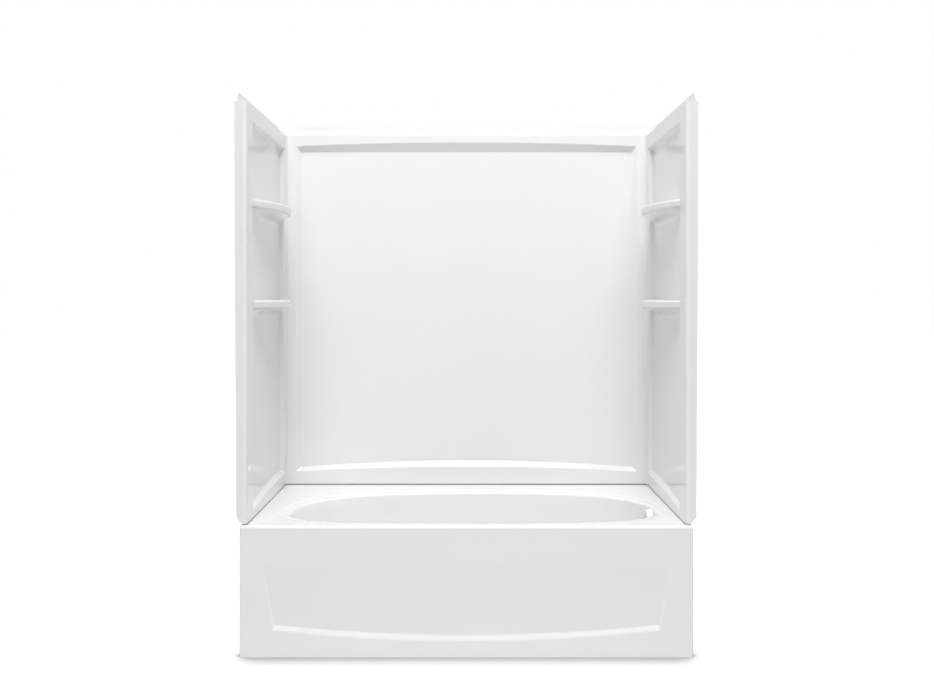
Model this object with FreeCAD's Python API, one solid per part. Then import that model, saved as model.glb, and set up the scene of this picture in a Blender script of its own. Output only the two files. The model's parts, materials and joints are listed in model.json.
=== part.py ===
import FreeCAD, Part
import math
import os

# An alcove bath with a three-piece moulded wall surround, a waste and overflow set with a push-down
# stopper, and the supports under the bath. Millimetres. The origin is on the floor, under the middle
# of the whole unit. +X is to the right, -Y is the open front, +Z is up.

# The whole unit
bath_width = 1530.0
unit_depth = 737.0
unit_height = 1918.0
rim_height = 444.0
wall_overhang = 20.0
skin = 5.0
overrun = 20.0
seat_gap = 0.3
thread_gap = 0.05
slip_gap = 0.5

# The bath's deck, apron and upstand flanges
deck_skin = 7.0
rim_radius = 12.0
apron_corner_radius = 5.0
apron_return_depth = 32.0
apron_lip_depth = 26.0
flange_skin = 4.0
upstand_height = 16.0
upstand_setback = 40.0

# The recess in the apron, whose depth fades to nothing at its top
apron_recess_from_rim = 122.0
apron_recess_depth = 11.0
apron_recess_top_inset = 74.0
apron_recess_foot_inset = 110.0
apron_recess_end_height = 89.5
apron_recess_sag = 37.0
# Its bevel is a soft moulding: how far it has come across and how deep it has sunk, in shares
apron_bevel_height = 27.0
apron_side_bevel = 11.0
apron_bevel_across_shares = (0.0, 0.126, 0.26, 0.574, 0.722, 1.0)
apron_bevel_sink_shares = (0.0, 0.073, 0.218, 0.718, 0.873, 1.0)

# The basin: its opening is an oval with a flat front side and an arched back side
floor_height = 80.0
deck_left_of_basin = 133.0
deck_right_of_basin = 80.0
deck_before_basin = 45.5
deck_behind_basin = 167.5
basin_tip_from_front = 183.0
basin_widest_offset = 3.5
back_left_power = 2.2
back_right_power = 2.5
front_right_power = 2.8
front_left_power = 3.6
ring_steps = 32
basin_lip_radius = 12.0
deck_step_depth = 1.5
deck_step_distance = 17.0
deck_step_slope = 14.0
deck_step_front_pull = 14.0
deck_step_height_shares = (0.0, 0.16, 0.5, 0.84, 1.0)
lean_shares = (0.35, 0.7, 1.0)
quarter_turn_steps = (30, 60, 90)
backrest_run = 132.0
foot_end_run = 45.0
front_side_run = 44.0
back_side_run = 62.0
floor_radius = 70.0
floor_fall = 8.0
floor_skin = 6.0

# Wall panels
joint_height = 4.0
seal_setback = 2.0
wall_inset = 24.0
back_wall_inset = 37.5
nail_flange_height = 40.0
recess_depth = 16.0
recess_side_slope = 20.0
recess_head_below_ledge = 66.0
recess_corner_radius = 9.0
recess_edge_radius = 5.0
nail_flange_skin = 4.0
corner_flange_width = 35.0
corner_flange_base = 26.0
stud_spacing = 406.4
nail_hole_radius = 2.6
nail_hole_from_top = 14.0
upstand_hole_rise = 8.0

# The back wall's recess: its side, then its foot above the rim and its head below the ledge
back_recess_side = 41.0
back_foot_ends = 54.0
back_foot_middle = 75.0
back_foot_slope_ends = 16.0
back_foot_slope_middle = 22.0
back_head_ends = 44.0
back_head_middle = 28.0

# The end walls' recess, between the front stile and the rear stile, given in the same way
end_recess_front = 96.0
end_recess_rear = 26.0
end_foot_front = 30.0
end_foot_middle = 46.0
end_foot_rear = 54.0
end_foot_slope_front = 8.0
end_foot_slope_middle = 18.0
end_foot_slope_rear = 12.0
end_head_slope = 9.0

# The end walls' rear stile flares forward into the corner
corner_flare_width = 25.0
corner_flare_depth = 8.0
corner_flare_bulge = 2.5

# The end walls' rounded front column, whose outer side leans. Its front is a full curve beside the
# panel that sinks gently towards the outer side, in shares of the column's width and its depth
nose_setback = 6.5
nose_depth = 17.0
nose_across_shares = (0.0, 0.05, 0.16, 0.3, 0.5, 0.68, 0.86, 1.0)
nose_sink_shares = (1.0, 0.42, 0.1, 0.0, 0.055, 0.13, 0.185, 0.2)
nose_skin = 9.0
nose_draft = 7.0
nose_column_depth = 21.0
nose_top_radius = 4.0
nose_foot_flat = 15.0
nose_foot_rise = 50.0
nose_foot_turn_out = 7.3
nose_foot_turn_rise = 21.7
nose_foot_block = 60.0
fin_setback = 18.5
fin_chamfer = 38.0

# The shelves moulded in the end walls
shelf_lower_drop = 675.0
shelf_upper_drop = 320.0
shelf_lip = 30.0
shelf_bow = 70.0
shelf_front_inset = 100.0
shelf_rear_inset = 18.0
shelf_edge_radius = 7.0
shelf_skin = 4.5
shelf_end_land = 24.0
cove_height = 42.0
cove_root = 1.0
cove_drop_shares = (0.0, 0.12, 0.28, 0.45, 0.7, 1.0)
cove_bow_shares = (0.93, 0.72, 0.45, 0.21, 0.06, -0.02)
cove_chord_shares = (0.98, 0.97, 0.95, 0.92, 0.88, 0.84)

# Corner clips that hold each end wall's rear flange to the back wall
clip_height_shares = (0.2, 0.5, 0.8)
clip_height = 34.0
clip_skin = 1.6
clip_reach = 16.0

# Waste and overflow
drain_from_basin_end = 178.0
drain_behind_tip = 70.0
drain_hole_radius = 25.5
drain_seat_radius = 40.0
drain_seat_sink = 0.8
drain_flange_radius = 36.0
drain_flange_height = 3.0
drain_edge_land = 0.6
drain_tube_radius = 24.0
drain_tube_bore = 20.0
drain_tube_length = 34.0
arm_width = 4.0
arm_height = 4.0
hub_rise = 8.0
hub_radius = 7.0
putty_height = 1.5
putty_radius = 33.0
gasket_height = 4.0
shoe_flange_radius = 34.0
shoe_flange_height = 6.0
shoe_radius = 28.5
shoe_floor_skin = 5.0
pipe_radius = 19.05
pipe_bore = 17.0
waste_axis_drop = 35.0
tee_from_edge = 47.0
tee_radius = 24.0
port_radius = 23.0
port_length = 48.0
port_socket_depth = 26.0
tee_spigot_end = 2.0
nut_radius = 29.5
nut_sides = 8
nut_grip_radius = 3.5
nut_height = 20.0
nut_lip_height = 4.0
slip_washer_height = 4.0
overflow_below_rim = 46.0
overflow_pad_radius = 37.0
overflow_pad_depth = 22.0
overflow_pad_sink = 17.0
overflow_hole_radius = 20.0
overflow_gasket_height = 5.0
overflow_head_radius = 33.0
overflow_head_depth = 42.0
overflow_bar_width = 9.0
overflow_bar_depth = 4.0
elbow_socket_radius = 22.5
elbow_socket_length = 44.0
elbow_socket_depth = 26.0
plate_radius = 34.0
plate_height = 8.0
plate_edge_radius = 5.0
plate_skin = 3.5
plate_slot_radius = 3.0
plate_slot_circle = 22.0
plate_slot_count = 3
plate_slot_turn = 28.0
screw_radius = 2.5
screw_head_radius = 5.0
screw_head_height = 2.5
screw_slot_width = 1.2

# Stopper: rest is open, and it travels down to close
stopper_travel = 8.0
post_radius = 6.0
post_thread_radius = 3.8
post_floor = 3.0
plunger_radius = 3.5
plunger_gap = 0.05
spring_rest_length = 13.0
spring_wire_radius = 0.3
spring_turns = 6
plunger_engaged = 8.0
cap_radius = 28.0
cap_height = 4.5
cap_edge_radius = 3.0
cap_boss_radius = 8.0
stopper_seal_radius = 19.4
stopper_seal_height = 3.5
closed_gap = 0.5

# Supports under the bath
board_height = 12.0
board_from_drain = 78.0
board_from_basin_left = 201.0
board_from_basin_front = 88.0
board_from_basin_back = 106.0
foot_inset = 60.0
foot_plate = 70.0
foot_plate_height = 6.0
foot_column_radius = 21.0
foot_column_bore = 16.0
foot_pad_radius = 36.0
foot_pad_height = 7.0
brace_width = 28.0
brace_skin = 3.0
brace_overlap = 60.0
brace_screw_radius = 2.2
brace_screw_head_radius = 4.5
brace_screw_head_height = 2.0
brace_screw_length = 10.0
brace_screw_spacing = 14.0

# Places worked out from the sizes above
half_width = bath_width / 2
half_depth = unit_depth / 2
outer_x = half_width + wall_overhang
front_y = -half_depth
back_y = half_depth
basin_right = half_width - deck_right_of_basin
basin_left = deck_left_of_basin - half_width
basin_length = basin_right - basin_left
basin_front = front_y + deck_before_basin
basin_back = back_y - deck_behind_basin
basin_centre_x = (basin_left + basin_right) / 2 + basin_widest_offset
basin_centre_y = basin_front + basin_tip_from_front
deck_z = rim_height - deck_step_depth
floor_under_z = floor_height - floor_skin
lean_height = rim_height - floor_height - floor_radius
outside_top_share = deck_skin / 2 / lean_height
inside_top_share = -overrun / lean_height

ledge_height = unit_height - nail_flange_height
wall_inner_x = half_width - wall_inset
back_wall_y = back_y - back_wall_inset
back_recess_half = wall_inner_x - back_recess_side
recess_head_inner = ledge_height - recess_head_below_ledge
wall_base = rim_height + joint_height
wall_rear_y = back_wall_y - seat_gap
field_x = wall_inner_x + recess_depth
fin_front_y = front_y + fin_setback
nose_front_y = front_y + nose_setback
nose_crease_y = nose_front_y + nose_depth
nose_rear_y = nose_front_y + nose_column_depth
end_recess_front_y = front_y + end_recess_front
end_recess_rear_y = back_wall_y - end_recess_rear
corner_base_z = rim_height + corner_flange_base
corner_edge_x = wall_inner_x + corner_flange_width
shelf_front_y = front_y + shelf_front_inset
shelf_rear_y = back_wall_y - shelf_rear_inset
shelf_middle_y = (shelf_front_y + shelf_rear_y) / 2
shelf_half = (shelf_rear_y - shelf_front_y) / 2
shelf_heights = (ledge_height - shelf_lower_drop, ledge_height - shelf_upper_drop)

waste_y = basin_centre_y + drain_behind_tip
drain_x = basin_right - drain_from_basin_end
waste_axis_height = floor_height - waste_axis_drop
tee_x = half_width - tee_from_edge
overflow_height = rim_height - overflow_below_rim
drain_under_z = floor_height - drain_seat_sink + putty_height
drain_top_z = drain_under_z + drain_flange_height
drain_tube_end = drain_under_z - drain_tube_length
hub_top_z = drain_tube_end + hub_rise
shoe_top_z = floor_under_z - gasket_height
tee_socket_x = tee_x - port_length + port_socket_depth
overflow_pad_inner_x = basin_right - overflow_pad_sink
overflow_pad_outer_x = overflow_pad_inner_x + overflow_pad_depth
overflow_gasket_x = overflow_pad_outer_x + overflow_gasket_height
post_top_z = hub_top_z + post_floor + spring_rest_length + plunger_engaged
boss_low_z = post_top_z + stopper_travel + closed_gap
cap_under_z = drain_top_z + stopper_travel + closed_gap

board_under_z = floor_under_z - board_height
board_right_x = drain_x - board_from_drain
board_left_x = basin_left + board_from_basin_left
board_front_y = basin_front + board_from_basin_front
board_rear_y = basin_back - board_from_basin_back


def vector(x, y, z):
    return FreeCAD.Vector(x, y, z)


def box(low, high):
    """A block between two corners."""
    size = [b - a for a, b in zip(low, high)]
    return Part.makeBox(size[0], size[1], size[2], vector(*low))


def rod(radius, start, end):
    """A round bar from one point to another."""
    way = vector(*end) - vector(*start)
    return Part.makeCylinder(radius, way.Length, vector(*start), way)


def pipe(radius, bore, start, end):
    """A tube from one point to another."""
    return rod(radius, start, end).cut(rod(bore, start, end))


def joined(shapes):
    """One solid made of several that touch or overlap."""
    return shapes[0].fuse(shapes[1:]).removeSplitter()


def line(a, b):
    return Part.LineSegment(a, b).toShape()


def arc(a, middle, b):
    return Part.Arc(a, middle, b).toShape()


def arc_or_line(a, middle, b):
    """An arc through three points, or a line where they are in line."""
    if middle.distanceToLine(a, b - a) < seat_gap:
        return line(a, b)
    return arc(a, middle, b)


def mirrored(shape):
    """The same shape on the other side of the unit."""
    return shape.mirror(vector(0, 0, 0), vector(1, 0, 0))


def stud_places(count):
    """Places along a flange at stud spacing, either side of the middle."""
    return [(turn - (count - 1) / 2) * stud_spacing for turn in range(count)]


def edges_on(shape, axis, value, least_length=0.0):
    """The edges that lie whole in one plane square to an axis."""
    found = []
    for edge in shape.Edges:
        low = getattr(edge.BoundBox, axis + "Min")
        high = getattr(edge.BoundBox, axis + "Max")
        if abs(low - value) < seat_gap and abs(high - value) < seat_gap and edge.Length > least_length:
            found.append(edge)
    return found


def write(name, shape):
    """Writes one node's solid or group of solids, and prints its size."""
    shape.exportStep("parts/" + name + ".step")
    print(name, shape.isValid(), len(shape.Solids), round(shape.Volume))


# The basin
def basin_ring(height, grow, runs=(0.0, 0.0, 0.0, 0.0), fall_share=0.0):
    """The basin's outline at a height. runs draws in the left, right, front and back sides."""
    left, right, front, back = runs
    points = []
    for step in range(ring_steps):
        turn = 2 * math.pi * step / ring_steps
        across = math.cos(turn)
        along = math.sin(turn)
        to_right = across >= 0
        to_back = along >= 0
        if to_back:
            power = back_right_power if to_right else back_left_power
            reach_y = basin_back - basin_centre_y + grow - back
        else:
            power = front_right_power if to_right else front_left_power
            reach_y = basin_centre_y - basin_front + grow - front
        if to_right:
            reach_x = basin_right - basin_centre_x + grow - right
        else:
            reach_x = basin_centre_x - basin_left + grow - left
        x = basin_centre_x + math.copysign(reach_x * abs(across) ** (2 / power), across)
        y = basin_centre_y + math.copysign(reach_y * abs(along) ** (2 / power), along)
        fall = fall_share * floor_fall * (drain_x - x) / basin_length
        points.append(vector(x, y, height + fall))
    curve = Part.BSplineCurve()
    curve.interpolate(Points=points, PeriodicFlag=True)
    return Part.Wire(curve.toShape())


def basin_body(top_share, grow, bottom, fall):
    """The basin's leaning sides, rounded into its floor. top_share says how far up the sides start."""
    wall_foot = floor_height + floor_radius
    leans = (backrest_run, foot_end_run, front_side_run, back_side_run)
    rings = []
    for share in (top_share,) + lean_shares:
        runs = [lean * share for lean in leans]
        rings.append(basin_ring(rim_height - share * lean_height, grow, runs))
    for degrees in quarter_turn_steps:
        turn = math.radians(degrees)
        height = wall_foot - (wall_foot - bottom) * math.sin(turn)
        inward = floor_radius * (1 - math.cos(turn))
        runs = [lean + inward for lean in leans]
        rings.append(basin_ring(height, grow, runs, fall * math.sin(turn)))
    return Part.makeLoft(rings, True, False)


def deck_step():
    """The shallow step in the deck, a little way outside the basin's opening."""
    front_pull = (0.0, 0.0, deck_step_front_pull, 0.0)
    near = basin_lip_radius + deck_step_distance
    rings = []
    for turn, share in enumerate(deck_step_height_shares):
        out = near + deck_step_slope * turn / (len(deck_step_height_shares) - 1)
        rings.append(basin_ring(deck_z + share * deck_step_depth, out, front_pull))
    return Part.makeLoft(rings, True, True)


# The bath moulding
def apron_outline(y, inset, height_inset):
    """The outline of the apron's recess at one depth."""
    top_half = half_width - apron_recess_top_inset - inset
    foot_half = half_width - apron_recess_foot_inset - inset
    top = rim_height - apron_recess_from_rim
    end_height = apron_recess_end_height + height_inset
    foot_left = vector(-foot_half, y, end_height)
    foot_middle = vector(0, y, end_height - apron_recess_sag)
    foot_right = vector(foot_half, y, end_height)
    top_right = vector(top_half, y, top)
    top_left = vector(-top_half, y, top)
    return Part.Wire(
        [
            arc(foot_left, foot_middle, foot_right),
            line(foot_right, top_right),
            line(top_right, top_left),
            line(top_left, foot_left),
        ]
    )


def apron_recess(y, grow):
    """The recess as a solid whose front is at y: its depth grows from nothing at the top."""
    deep_y = y + apron_recess_depth
    outlines = []
    for across, sink in zip(apron_bevel_across_shares, apron_bevel_sink_shares):
        inset = across * apron_side_bevel - grow
        outlines.append(
            apron_outline(y + sink * apron_recess_depth, inset, across * apron_bevel_height - grow)
        )
    bowl = Part.makeLoft(outlines, True, True)
    foot = apron_recess_end_height - apron_recess_sag - grow
    corners = [
        vector(-half_width, y, rim_height - apron_recess_from_rim),
        vector(-half_width, deep_y, foot),
        vector(-half_width, y, foot),
    ]
    wedge = Part.Face(Part.makePolygon(corners + corners[:1])).extrude(vector(bath_width, 0, 0))
    return bowl.common(wedge)


def bath_skins():
    """The deck and apron, their returns and lip, and the upstand flanges."""
    block = box((-half_width, front_y, 0), (half_width, back_y, rim_height))
    top_edge = [e for e in edges_on(block, "Y", front_y, bath_width / 2) if e.BoundBox.ZMin > 0]
    block = block.makeFillet(rim_radius, top_edge)
    ends = edges_on(block, "X", half_width) + edges_on(block, "X", -half_width)
    upright = [e for e in ends if e.BoundBox.YMax < 0 and e.BoundBox.ZLength > rim_height / 2]
    block = block.makeFillet(apron_corner_radius, upright)
    under_z = rim_height - deck_skin
    under = box(
        (-half_width - overrun, front_y + skin, -overrun),
        (half_width + overrun, back_y + overrun, under_z),
    )
    under_edge = [e for e in edges_on(under, "Y", front_y + skin, bath_width / 2) if e.BoundBox.ZMin > 0]
    under = under.makeFillet(rim_radius - skin, under_edge)
    pieces = [block.cut(under)]
    lip_low = (-half_width + skin, front_y + skin, 0)
    pieces.append(box(lip_low, (half_width - skin, front_y + apron_lip_depth, skin)))
    upstand_top = rim_height + upstand_height
    pieces.append(box((-half_width, back_y - flange_skin, under_z), (half_width, back_y, upstand_top)))
    for side in (-1, 1):
        edge = side * half_width
        low_x, high_x = sorted((edge, edge - side * skin))
        return_y = front_y + apron_return_depth
        pieces.append(box((low_x, front_y + skin, 0), (high_x, return_y, under_z)))
        low_x, high_x = sorted((edge, edge - side * flange_skin))
        pieces.append(box((low_x, front_y + upstand_setback, under_z), (high_x, back_y, upstand_top)))
    return pieces


def upstand_holes():
    """Screw holes in the upstand flanges, at stud spacing."""
    hole_z = rim_height + upstand_hole_rise
    holes = []
    for x in stud_places(4):
        holes.append(rod(nail_hole_radius, (x, back_y - overrun, hole_z), (x, back_y + overrun, hole_z)))
    for y in stud_places(2):
        for side in (-1, 1):
            near = (side * (half_width - overrun), y, hole_z)
            far = (side * (half_width + overrun), y, hole_z)
            holes.append(rod(nail_hole_radius, near, far))
    return holes


def bath_shell():
    """Rim, basin, apron and upstand flanges in one moulding."""
    outside = basin_body(outside_top_share, skin, floor_under_z, 0.0)
    shell = joined(bath_skins() + [apron_recess(front_y + skin, skin), outside])
    shell = shell.cut(deck_step()).cut(basin_body(inside_top_share, 0.0, floor_height, 1.0))
    lip = min(edges_on(shell, "Z", deck_z, basin_length), key=lambda edge: edge.BoundBox.XLength)
    shell = shell.makeFillet(basin_lip_radius, [lip])
    pad_face = (overflow_pad_inner_x, waste_y, overflow_height)
    pad_back = (overflow_pad_outer_x, waste_y, overflow_height)
    shell = shell.fuse(rod(overflow_pad_radius, pad_face, pad_back))
    inside = (overflow_pad_inner_x - overrun, waste_y, overflow_height)
    outside = (overflow_pad_outer_x + overrun, waste_y, overflow_height)
    seat_z = floor_height - drain_seat_sink
    above = (drain_x, waste_y, floor_height + overrun)
    cuts = [
        apron_recess(front_y, 0.0),
        rod(overflow_pad_radius, inside, pad_face),
        rod(overflow_hole_radius, inside, outside),
        rod(drain_hole_radius, (drain_x, waste_y, 0), above),
        rod(drain_seat_radius, (drain_x, waste_y, seat_z), above),
    ]
    return shell.cut(cuts + upstand_holes())


# The wall panels
def recess_outline(place, sides, foot, head):
    """The outline of a panel's recess. foot and head give the heights at one side, middle and other."""
    low, high = sides
    middle = (low + high) / 2
    feet = [place(low, foot[0]), place(middle, foot[1]), place(high, foot[2])]
    heads = [place(high, head[2]), place(middle, head[1]), place(low, head[0])]
    return Part.Wire(
        [
            arc_or_line(*feet),
            line(feet[2], heads[0]),
            arc_or_line(*heads),
            line(heads[2], feet[0]),
        ]
    )


def recess_solid(place_at, front, sides, foot, foot_slope, head, grow):
    """A recess as a solid with leaning sides, from the panel's face at front to its field."""
    outer = recess_outline(
        place_at(front),
        (sides[0] - grow, sides[1] + grow),
        [z - grow for z in foot],
        [z + grow for z in head],
    )
    inner = recess_outline(
        place_at(front + recess_depth),
        (sides[0] + recess_side_slope - grow, sides[1] - recess_side_slope + grow),
        [z + rise - grow for z, rise in zip(foot, foot_slope)],
        [recess_head_inner + grow] * 3,
    )
    return Part.makeLoft([outer, inner], True, True)


def back_place(depth):
    """Points of the back wall: u runs along X, and depth runs back from its face."""
    return lambda u, z: vector(u, back_wall_y + depth, z)


def end_place(depth):
    """Points of the left end wall: u runs along Y, and depth runs out from its face."""
    return lambda u, z: vector(-wall_inner_x - depth, u, z)


def back_recess(front, grow):
    foot_end = rim_height + back_foot_ends
    head_end = ledge_height - back_head_ends
    return recess_solid(
        back_place,
        front,
        (-back_recess_half, back_recess_half),
        (foot_end, rim_height + back_foot_middle, foot_end),
        (back_foot_slope_ends, back_foot_slope_middle, back_foot_slope_ends),
        (head_end, ledge_height - back_head_middle, head_end),
        grow,
    )


def end_recess(front, grow):
    head = recess_head_inner + end_head_slope
    return recess_solid(
        end_place,
        front,
        (end_recess_front_y, end_recess_rear_y),
        (rim_height + end_foot_front, rim_height + end_foot_middle, rim_height + end_foot_rear),
        (end_foot_slope_front, end_foot_slope_middle, end_foot_slope_rear),
        (head, head, head),
        grow,
    )


def soft_recess(recess, axis, field):
    """The recess with rounded corners and rounded edges round its field."""
    corners = [e for e in recess.Edges if getattr(e.BoundBox, axis + "Length") > recess_depth / 2]
    recess = recess.makeFillet(recess_corner_radius, corners)
    return recess.makeFillet(recess_edge_radius, edges_on(recess, axis, field))


def round_recess_rim(panel, axis, value, low, high):
    """Rounds the edges where a recess leaves the panel's face, between two corners."""
    rim = []
    for edge in edges_on(panel, axis, value):
        c = edge.BoundBox.Center
        if all(a <= b <= d for a, b, d in zip(low, (c.x, c.y, c.z), high)):
            rim.append(edge)
    return panel.makeFillet(recess_edge_radius, rim)


def back_wall():
    """The framed back panel with its top ledge and nailing flange."""
    rear_y = back_wall_y + skin
    fin_y = back_y - nail_flange_skin
    ledge_z = ledge_height - skin
    pieces = [
        box((-wall_inner_x, back_wall_y, wall_base), (wall_inner_x, rear_y, ledge_height)),
        box((-corner_edge_x, back_wall_y, corner_base_z), (corner_edge_x, rear_y, ledge_height)),
        box((-corner_edge_x, back_wall_y, ledge_z), (corner_edge_x, fin_y, ledge_height)),
        box((-corner_edge_x, fin_y, ledge_z), (corner_edge_x, back_y, unit_height)),
        back_recess(skin, skin),
    ]
    panel = joined(pieces)
    panel = panel.cut(soft_recess(back_recess(0.0, 0.0), "Y", back_wall_y + recess_depth))
    reach = back_recess_half + seat_gap
    low = (-reach, front_y, rim_height + back_foot_ends - seat_gap)
    high = (reach, back_y, ledge_height - back_head_middle + seat_gap)
    panel = round_recess_rim(panel, "Y", back_wall_y, low, high)
    hole_z = unit_height - nail_hole_from_top
    holes = []
    for x in stud_places(4):
        holes.append(rod(nail_hole_radius, (x, back_y - overrun, hole_z), (x, back_y + overrun, hole_z)))
    return panel.cut(holes)


def nose_plan(z, outer):
    """The front column's outline at a height, out to its outer side."""
    x = -wall_inner_x
    front = []
    for across, sink in zip(nose_across_shares, nose_sink_shares):
        front.append(vector(x - across * (outer - wall_inner_x), nose_front_y + sink * nose_depth, z))
    curve = Part.BSplineCurve()
    curve.interpolate(Points=front)
    rear_outer = vector(-outer, nose_rear_y, z)
    rear_inner = vector(x, nose_rear_y, z)
    sides = [line(front[-1], rear_outer), line(rear_outer, rear_inner), line(rear_inner, front[0])]
    return Part.Wire([curve.toShape()] + sides)


def nose_foot():
    """What is cut away below the column's rounded foot."""
    inner_x = -wall_inner_x - nose_foot_flat
    outer_z = wall_base + nose_foot_rise
    low_z = wall_base - overrun
    out_x = -outer_x - overrun
    front = nose_front_y - overrun
    start = vector(inner_x, front, wall_base)
    turn = vector(-outer_x + nose_foot_turn_out, front, wall_base + nose_foot_turn_rise)
    end = vector(-outer_x, front, outer_z)
    rest = [
        end,
        vector(out_x, front, outer_z),
        vector(out_x, front, low_z),
        vector(inner_x, front, low_z),
        start,
    ]
    outline = Part.Wire([arc(start, turn, end)] + [line(a, b) for a, b in zip(rest, rest[1:])])
    return Part.Face(outline).extrude(vector(0, nose_rear_y + overrun - front, 0))


def nose_top_corner():
    """What rounding the column's front top edge takes away."""
    low_x = -outer_x - overrun
    high_x = overrun - wall_inner_x
    axis_y = nose_front_y + nose_top_radius
    axis_z = ledge_height - nose_top_radius
    corner = box((low_x, nose_front_y - overrun, axis_z), (high_x, axis_y, ledge_height + overrun))
    return corner.cut(rod(nose_top_radius, (low_x, axis_y, axis_z), (high_x, axis_y, axis_z)))


def nose_column():
    """The left wall's front column, hollow at the back."""
    outer_foot = outer_x - nose_draft
    column = Part.makeLoft([nose_plan(wall_base, outer_foot), nose_plan(ledge_height, outer_x)], True, True)
    hollow = box(
        (skin - outer_foot, nose_front_y + nose_skin, wall_base + nose_foot_block),
        (-wall_inner_x - skin, nose_rear_y + overrun, ledge_height - skin),
    )
    return column.cut([hollow, nose_foot(), nose_top_corner()])


def shelf_section(z, reach, half_chord, root_x, back_x):
    """A shelf's plan at one height: straight back and sides, and a bowed front edge."""
    low = shelf_middle_y - half_chord
    high = shelf_middle_y + half_chord
    a = vector(root_x, low, z)
    b = vector(root_x, high, z)
    return Part.Wire(
        [
            arc(a, vector(-field_x + reach, shelf_middle_y, z), b),
            line(b, vector(back_x, high, z)),
            line(vector(back_x, high, z), vector(back_x, low, z)),
            line(vector(back_x, low, z), a),
        ]
    )


def shelf_lip_block(height, inset, end_inset, back_x):
    """A shelf's lip. inset and end_inset shrink it, for the hollow at its back."""
    foot = height - shelf_lip
    reach = shelf_bow + recess_depth - inset
    plan = shelf_section(foot, reach, shelf_half - end_inset, -field_x, back_x)
    return Part.Face(plan).extrude(vector(0, 0, shelf_lip - inset))


def cove(height, inset, end_inset, back_x):
    """The scooped underside of a shelf, which fades into the wall as it goes down."""
    foot = height - shelf_lip
    sections = []
    for drop, bow, chord in zip(cove_drop_shares, cove_bow_shares, cove_chord_shares):
        reach = (shelf_bow + recess_depth) * bow - inset
        if inset == 0 or reach > shelf_skin:
            z = foot - drop * cove_height
            half_chord = shelf_half * chord - end_inset
            sections.append(shelf_section(z, reach, half_chord, -field_x - cove_root, back_x))
    return Part.makeLoft(sections, True, False)


def shelf(height):
    """A shelf with its lip's edges rounded, and the cove under it."""
    back_x = -field_x - skin
    lip = shelf_lip_block(height, 0, 0, back_x)
    lip = lip.makeFillet(shelf_edge_radius, [e for e in lip.Edges if e.Curve.TypeId == "Part::GeomCircle"])
    return lip.fuse(cove(height, 0, 0, back_x))


def shelf_hollow(height):
    """The hollow at the back of a shelf and its cove."""
    back_x = -field_x - skin - overrun
    lip = shelf_lip_block(height, shelf_skin, shelf_end_land, back_x)
    return lip.fuse(cove(height, shelf_skin, shelf_end_land, back_x))


def corner_flare():
    """The end wall's rear edge, which curves forward to meet the back wall."""
    x = -wall_inner_x
    start_y = wall_rear_y - corner_flare_width
    start = vector(x, start_y, wall_base)
    end = vector(x + corner_flare_depth, wall_rear_y, wall_base)
    middle = vector(
        x + corner_flare_depth / 2 - corner_flare_bulge,
        (start_y + wall_rear_y) / 2,
        wall_base,
    )
    corner = vector(x - skin, wall_rear_y, wall_base)
    near = vector(x - skin, start_y, wall_base)
    outline = Part.Wire([arc(start, middle, end), line(end, corner), line(corner, near), line(near, start)])
    return Part.Face(outline).extrude(vector(0, 0, ledge_height - wall_base))


def end_wall_left():
    """The left end wall: framed panel, rounded front column, shelves, top ledge and flanges."""
    x = -wall_inner_x
    ledge_z = ledge_height - skin
    fin_rear_y = back_y - nail_flange_skin - seat_gap
    fin_plan = [
        (fin_front_y, ledge_z),
        (fin_front_y, ledge_height),
        (fin_front_y + fin_chamfer, unit_height),
        (fin_rear_y, unit_height),
        (fin_rear_y, ledge_z),
    ]
    fin_corners = [vector(-outer_x, y, z) for y, z in fin_plan]
    fin_face = Part.Face(Part.makePolygon(fin_corners + fin_corners[:1]))
    fin = fin_face.extrude(vector(nail_flange_skin, 0, 0))
    pieces = [
        box((x - skin, nose_crease_y, wall_base), (x, wall_rear_y, ledge_height)),
        box((-outer_x, nose_rear_y, ledge_z), (x, wall_rear_y, ledge_height)),
        box((-corner_edge_x, wall_rear_y - skin, corner_base_z), (x, wall_rear_y, ledge_height)),
        nose_column(),
        fin,
        corner_flare(),
        end_recess(skin, skin),
    ]
    panel = joined(pieces)
    panel = panel.cut(soft_recess(end_recess(0.0, 0.0), "X", -field_x))
    low = (x - skin, end_recess_front_y - seat_gap, rim_height + end_foot_front - seat_gap)
    high = (x + skin, end_recess_rear_y + seat_gap, recess_head_inner + end_head_slope + seat_gap)
    panel = round_recess_rim(panel, "X", x, low, high)
    panel = panel.fuse([shelf(z) for z in shelf_heights])
    hole_z = unit_height - nail_hole_from_top
    cuts = [shelf_hollow(z) for z in shelf_heights]
    for y in stud_places(2):
        cuts.append(rod(nail_hole_radius, (-outer_x - overrun, y, hole_z), (-outer_x + overrun, y, hole_z)))
    return panel.cut(cuts).removeSplitter()


def end_seal():
    """The joint strip under the left end wall."""
    low = (-wall_inner_x - skin, nose_crease_y, rim_height)
    return box(low, (-wall_inner_x - seal_setback, wall_rear_y, wall_base))


def back_seal():
    """The joint strip under the back wall."""
    half = wall_inner_x - seal_setback
    low = (-half, back_wall_y + seal_setback, rim_height)
    return box(low, (half, back_wall_y + skin, wall_base))


def corner_clips():
    """Spring clips over the left wall's rear flange and the back wall's edge behind it."""
    out_x = -corner_edge_x - seat_gap
    in_x = out_x + clip_reach
    inner_front = wall_rear_y - skin - seat_gap
    inner_back = back_wall_y + skin + seat_gap
    clips = []
    for share in clip_height_shares:
        z = corner_base_z + share * (ledge_height - corner_base_z)
        top = z + clip_height
        block = box((out_x - clip_skin, inner_front - clip_skin, z), (in_x, inner_back + clip_skin, top))
        throat = box((out_x, inner_front, z), (in_x, inner_back, top))
        clips.append(block.cut(throat))
    return Part.makeCompound(clips)


# The waste and overflow
def at_drain(z):
    return (drain_x, waste_y, z)


def at_tee(z):
    return (tee_x, waste_y, z)


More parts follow.
